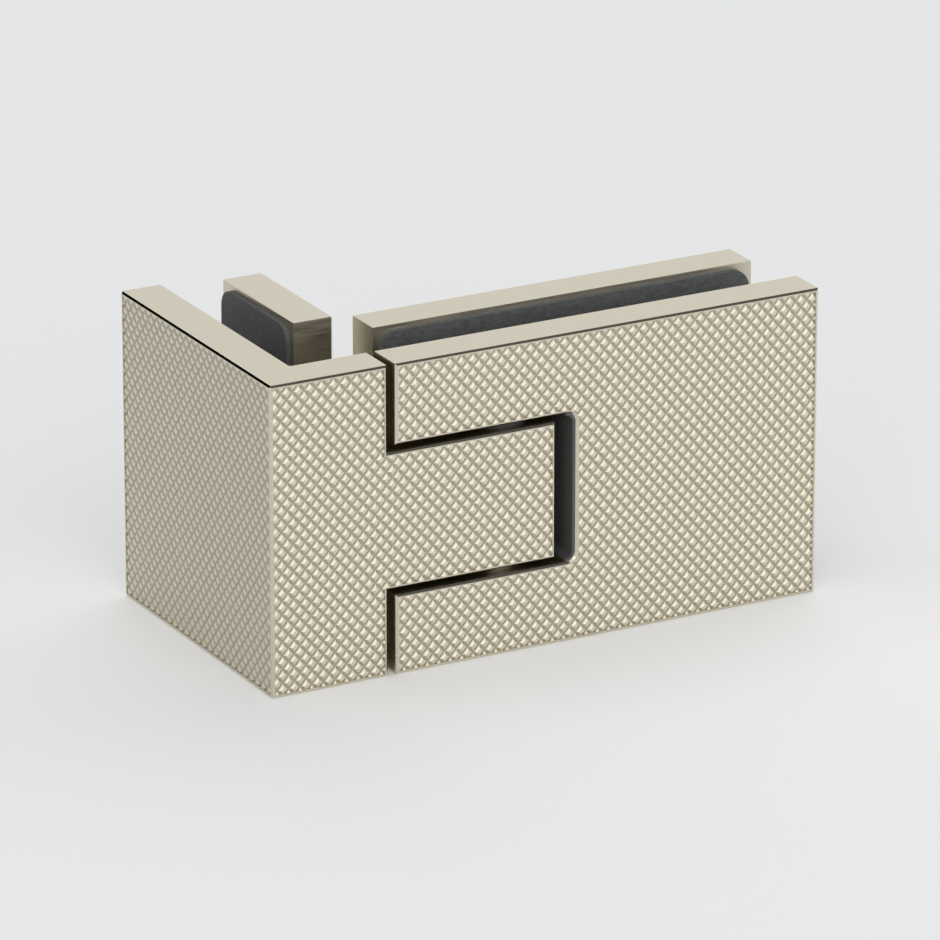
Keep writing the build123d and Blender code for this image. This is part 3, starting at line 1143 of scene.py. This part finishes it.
def turned_steel(finish):
    """Stainless steel with fine rings round each screw, as a lathe leaves them."""
    material, tree, shader = new_material("turned_steel", metallic=1.0)
    noise = tree.nodes.new("ShaderNodeTexNoise")
    noise.noise_dimensions = "1D"
    noise.inputs["Scale"].default_value = 1 / finish.ring_width
    noise.inputs["Detail"].default_value = FINE_DETAIL
    tree.links.new(attribute(tree, RADIUS_LAYER), noise.inputs["W"])
    rings = noise.outputs["Fac"]
    follow(tree, shader, rings, finish.steel, shades=(0.9, 1.06), roughness=(0.22, 0.36))
    roughen(tree, shader, rings, strength=0.25, height=0.00002)
    return material


def rubber_sheet(name, base):
    """Matt grey rubber sheet with a fibrous speckle."""
    material, tree, shader = new_material(name)
    fibre = grain(tree, RUBBER_FIBRE, detail=4.0)
    follow(tree, shader, fibre, base, shades=(0.72, 1.25), roughness=(0.62, 0.85))
    roughen(tree, shader, fibre, strength=0.35, height=0.00008)
    return material


def natural_nylon(finish):
    """Natural nylon, slightly cloudy."""
    material, tree, shader = new_material("natural_nylon")
    cloud = grain(tree, evenly(NYLON_CLOUD))
    follow(tree, shader, cloud, finish.nylon, shades=(0.93, 1.05), roughness=(0.38, 0.52))
    pores = grain(tree, evenly(NYLON_GRAIN), detail=2.0)
    roughen(tree, shader, pores, strength=0.08, height=0.00004)
    return material


def black_acetal(finish):
    """Black acetal with a soft moulded sheen."""
    material, tree, shader = new_material("black_acetal")
    skin = grain(tree, evenly(ACETAL_GRAIN))
    follow(tree, shader, skin, finish.acetal, shades=(0.8, 1.3), roughness=(0.32, 0.46))
    roughen(tree, shader, skin, strength=0.1, height=0.00004)
    return material


def dress(nodes, material):
    """Gives CAD nodes a material."""
    for name in nodes:
        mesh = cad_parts[name].data
        mesh.materials.clear()
        mesh.materials.append(material)


class HINGE_OT_cut_knurling(bpy.types.Operator):
    """Cuts the diamond knurl into the sunk fields of the corner body and the leaf"""

    bl_idname = "hinge.cut_knurling"
    bl_label = "Cut Knurling"

    def execute(self, context):
        knurl = context.scene.hinge_knurl
        material = knurl_plating(context.scene.hinge_finish)
        fields = (
            ("corner_front_knurl", corner_front_outline(knurl), FRONT, "side_bracket"),
            ("corner_side_knurl", corner_side_outline(knurl), SIDE, "side_bracket"),
            ("leaf_knurl", leaf_outline(knurl), FRONT, "door_leaf"),
        )
        for name, outline, place, body in fields:
            make_knurl(name, outline, place, body, knurl, material)
        return {"FINISHED"}


class HINGE_OT_finish_plates(bpy.types.Operator):
    """Gives the bodies and clamp plates their satin champagne plating"""

    bl_idname = "hinge.finish_plates"
    bl_label = "Finish Plates"

    def execute(self, context):
        dress(PLATE_NODES, champagne_plating(context.scene.hinge_finish))
        return {"FINISHED"}


class HINGE_OT_finish_pivot(bpy.types.Operator):
    """Gives the bearing blocks, lift cams, bushes and sleeves their materials"""

    bl_idname = "hinge.finish_pivot"
    bl_label = "Finish Pivot"

    def execute(self, context):
        finish = context.scene.hinge_finish
        dress(BLOCK_NODES, machined_brass(finish))
        dress(CAM_NODES, black_acetal(finish))
        dress(SLEEVE_NODES, natural_nylon(finish))
        return {"FINISHED"}


class HINGE_OT_turn_screws(bpy.types.Operator):
    """Turns the countersunk screws of the clamp plates and bearing blocks, with their threads"""

    bl_idname = "hinge.turn_screws"
    bl_label = "Turn Screws"

    def execute(self, context):
        sizes = context.scene.hinge_screws
        material = turned_steel(context.scene.hinge_finish)
        clamp = screw_sizes(sizes, "clamp")
        block = screw_sizes(sizes, "block")
        groups = (
            ("turned_side_screws", "side_clamp_screws", ALONG_X, "side_bracket", clamp),
            ("turned_door_screws", "door_clamp_screws", ALONG_Y, "door_leaf", clamp),
            ("turned_block_screws", "bearing_block_screws", ALONG_Y, "door_leaf", block),
        )
        for name, node, axis, body, screw in groups:
            make_screws(name, node, axis, body, screw, sizes, material)
        return {"FINISHED"}


class HINGE_OT_finish_pin(bpy.types.Operator):
    """Gives the pivot pin and the cam's grub screw their stainless steel"""

    bl_idname = "hinge.finish_pin"
    bl_label = "Finish Pin"

    def execute(self, context):
        dress(PIN_NODES, stainless_steel(context.scene.hinge_finish))
        return {"FINISHED"}


class HINGE_OT_finish_seals(bpy.types.Operator):
    """Gives the gaskets and the recess liner their grey sheet"""

    bl_idname = "hinge.finish_seals"
    bl_label = "Finish Seals"

    def execute(self, context):
        finish = context.scene.hinge_finish
        dress(GASKET_NODES, rubber_sheet("gasket_sheet", finish.gasket))
        dress(("recess_liner",), rubber_sheet("liner_sheet", finish.liner))
        return {"FINISHED"}


def seen_rays(tree, strength):
    """A strength on camera rays and on mirrored and transmitted rays, and zero on the rest."""
    rays = tree.nodes.new("ShaderNodeLightPath").outputs
    kinds = (rays["Is Camera Ray"], rays["Is Glossy Ray"], rays["Is Transmission Ray"])
    return worked_out(tree, "MULTIPLY", combined(tree, "MAXIMUM", kinds), strength)


def floor_paint(stage):
    """A matt pale floor that shows only from above, lifted a little where it is seen or mirrored."""
    material = bpy.data.materials.new("floor_paint")
    material.use_nodes = True
    tree = material.node_tree
    tree.nodes.clear()
    matt = tree.nodes.new("ShaderNodeBsdfDiffuse")
    matt.inputs["Color"].default_value = (*stage.floor_colour, 1)
    glow = tree.nodes.new("ShaderNodeEmission")
    lit = tree.nodes.new("ShaderNodeAddShader")
    clear = tree.nodes.new("ShaderNodeBsdfTransparent")
    geometry = tree.nodes.new("ShaderNodeNewGeometry")
    mix = tree.nodes.new("ShaderNodeMixShader")
    output = tree.nodes.new("ShaderNodeOutputMaterial")
    tree.links.new(seen_rays(tree, stage.floor_lift), glow.inputs["Strength"])
    tree.links.new(matt.outputs["BSDF"], lit.inputs[0])
    tree.links.new(glow.outputs["Emission"], lit.inputs[1])
    tree.links.new(geometry.outputs["Backfacing"], mix.inputs["Fac"])
    tree.links.new(lit.outputs["Shader"], mix.inputs[1])
    tree.links.new(clear.outputs["BSDF"], mix.inputs[2])
    tree.links.new(mix.outputs["Shader"], output.inputs["Surface"])
    return material


def make_floor(stage):
    """The round floor under the hinge."""
    bm = bmesh.new()
    bmesh.ops.create_circle(bm, cap_ends=True, radius=stage.floor_radius, segments=FLOOR_STEPS)
    floor = finished_piece("floor", bm, floor_paint(stage))
    floor.location.z = HINGE_LOW.z - stage.floor_gap


def past_flag(tree, direction, spread_angle, light=0.0):
    """One in the open sky, and a share of its light within a round flag that stands in a direction."""
    coordinates = tree.nodes.new("ShaderNodeTexCoord")
    towards = tree.nodes.new("ShaderNodeVectorMath")
    towards.operation = "DOT_PRODUCT"
    towards.inputs[1].default_value = Vector(direction).normalized()
    edge = tree.nodes.new("ShaderNodeMapRange")
    edge.interpolation_type = "SMOOTHSTEP"
    edge.inputs["From Min"].default_value = math.cos(spread_angle * FLAG_EDGE)
    edge.inputs["From Max"].default_value = math.cos(spread_angle)
    edge.inputs["To Min"].default_value = 1.0
    edge.inputs["To Max"].default_value = light
    tree.links.new(coordinates.outputs["Generated"], towards.inputs[0])
    tree.links.new(towards.outputs["Value"], edge.inputs["Value"])
    return edge.outputs["Result"]


def make_sky(stage):
    """Even white light all round, but for two flags that the upper edges mirror and a scrim."""
    world = bpy.data.worlds.new("studio")
    world.use_nodes = True
    tree = world.node_tree
    flags = (
        past_flag(tree, stage.flag_above, stage.flag_spread, stage.flag_above_light),
        past_flag(tree, stage.flag_behind, stage.flag_spread),
        past_flag(tree, stage.scrim, stage.scrim_spread, stage.scrim_light),
    )
    light = combined(tree, "MULTIPLY", (*flags, stage.sky))
    backdrop = tree.nodes["Background"]
    backdrop.inputs["Color"].default_value = (1, 1, 1, 1)
    tree.links.new(light, backdrop.inputs["Strength"])
    bpy.context.scene.world = world


def set_up(name, data, place, target):
    """A lamp or a camera at a place, which looks at a point."""
    thing = bpy.data.objects.new(name, data)
    thing.location = place
    thing.rotation_euler = (target - thing.location).to_track_quat("-Z", "Y").to_euler()
    bpy.context.collection.objects.link(thing)
    return thing


def make_key_light(stage):
    """The large softbox, which looks at the middle of the hinge."""
    lamp = bpy.data.lights.new("key_light", "AREA")
    lamp.shape = "RECTANGLE"
    lamp.size = stage.key_width
    lamp.size_y = stage.key_height
    lamp.energy = stage.key_power
    set_up("key_light", lamp, stage.key_place, (HINGE_LOW + HINGE_HIGH) / 2)


def make_camera(stage):
    """The camera, which looks at a point above the middle of the hinge's foot."""
    data = bpy.data.cameras.new("camera")
    data.lens = stage.lens
    target = Vector((0, 0, stage.aim_height))
    bpy.context.scene.camera = set_up("camera", data, stage.camera_place, target)


class HINGE_OT_set_stage(bpy.types.Operator):
    """Sets up the floor, the lights and the camera"""

    bl_idname = "hinge.set_stage"
    bl_label = "Set Stage"

    def execute(self, context):
        stage = context.scene.hinge_stage
        make_floor(stage)
        make_sky(stage)
        make_key_light(stage)
        make_camera(stage)
        context.scene.view_settings.view_transform = "Standard"
        return {"FINISHED"}


class HINGE_PT_finish(bpy.types.Panel):
    """The steps that finish the hinge, in order"""

    bl_idname = "HINGE_PT_finish"
    bl_label = "Lift Hinge"
    bl_space_type = "VIEW_3D"
    bl_region_type = "UI"
    bl_category = "Lift Hinge"

    def draw(self, context):
        for step in STEPS:
            self.layout.operator(step.bl_idname)


SETTINGS = {
    "hinge_knurl": KnurlSettings,
    "hinge_screws": ScrewSettings,
    "hinge_finish": FinishSettings,
    "hinge_stage": StageSettings,
}
STEPS = (
    HINGE_OT_cut_knurling,
    HINGE_OT_finish_plates,
    HINGE_OT_finish_pivot,
    HINGE_OT_turn_screws,
    HINGE_OT_finish_pin,
    HINGE_OT_finish_seals,
    HINGE_OT_set_stage,
)
CLASSES = (*SETTINGS.values(), *STEPS, HINGE_PT_finish)


def register():
    """Registers the classes, and puts the settings on the scene."""
    for cls in CLASSES:
        bpy.utils.register_class(cls)
    for name, group in SETTINGS.items():
        setattr(bpy.types.Scene, name, PointerProperty(type=group))


def unregister():
    """Takes the settings and the classes away again."""
    for name in SETTINGS:
        delattr(bpy.types.Scene, name)
    for cls in reversed(CLASSES):
        bpy.utils.unregister_class(cls)


def main():
    """Finishes the hinge step by step."""
    register()
    bpy.ops.hinge.cut_knurling()
    bpy.ops.hinge.finish_plates()
    bpy.ops.hinge.finish_pivot()
    bpy.ops.hinge.turn_screws()
    bpy.ops.hinge.finish_pin()
    bpy.ops.hinge.finish_seals()
    bpy.ops.hinge.set_stage()


if __name__ == "__main__":
    main()
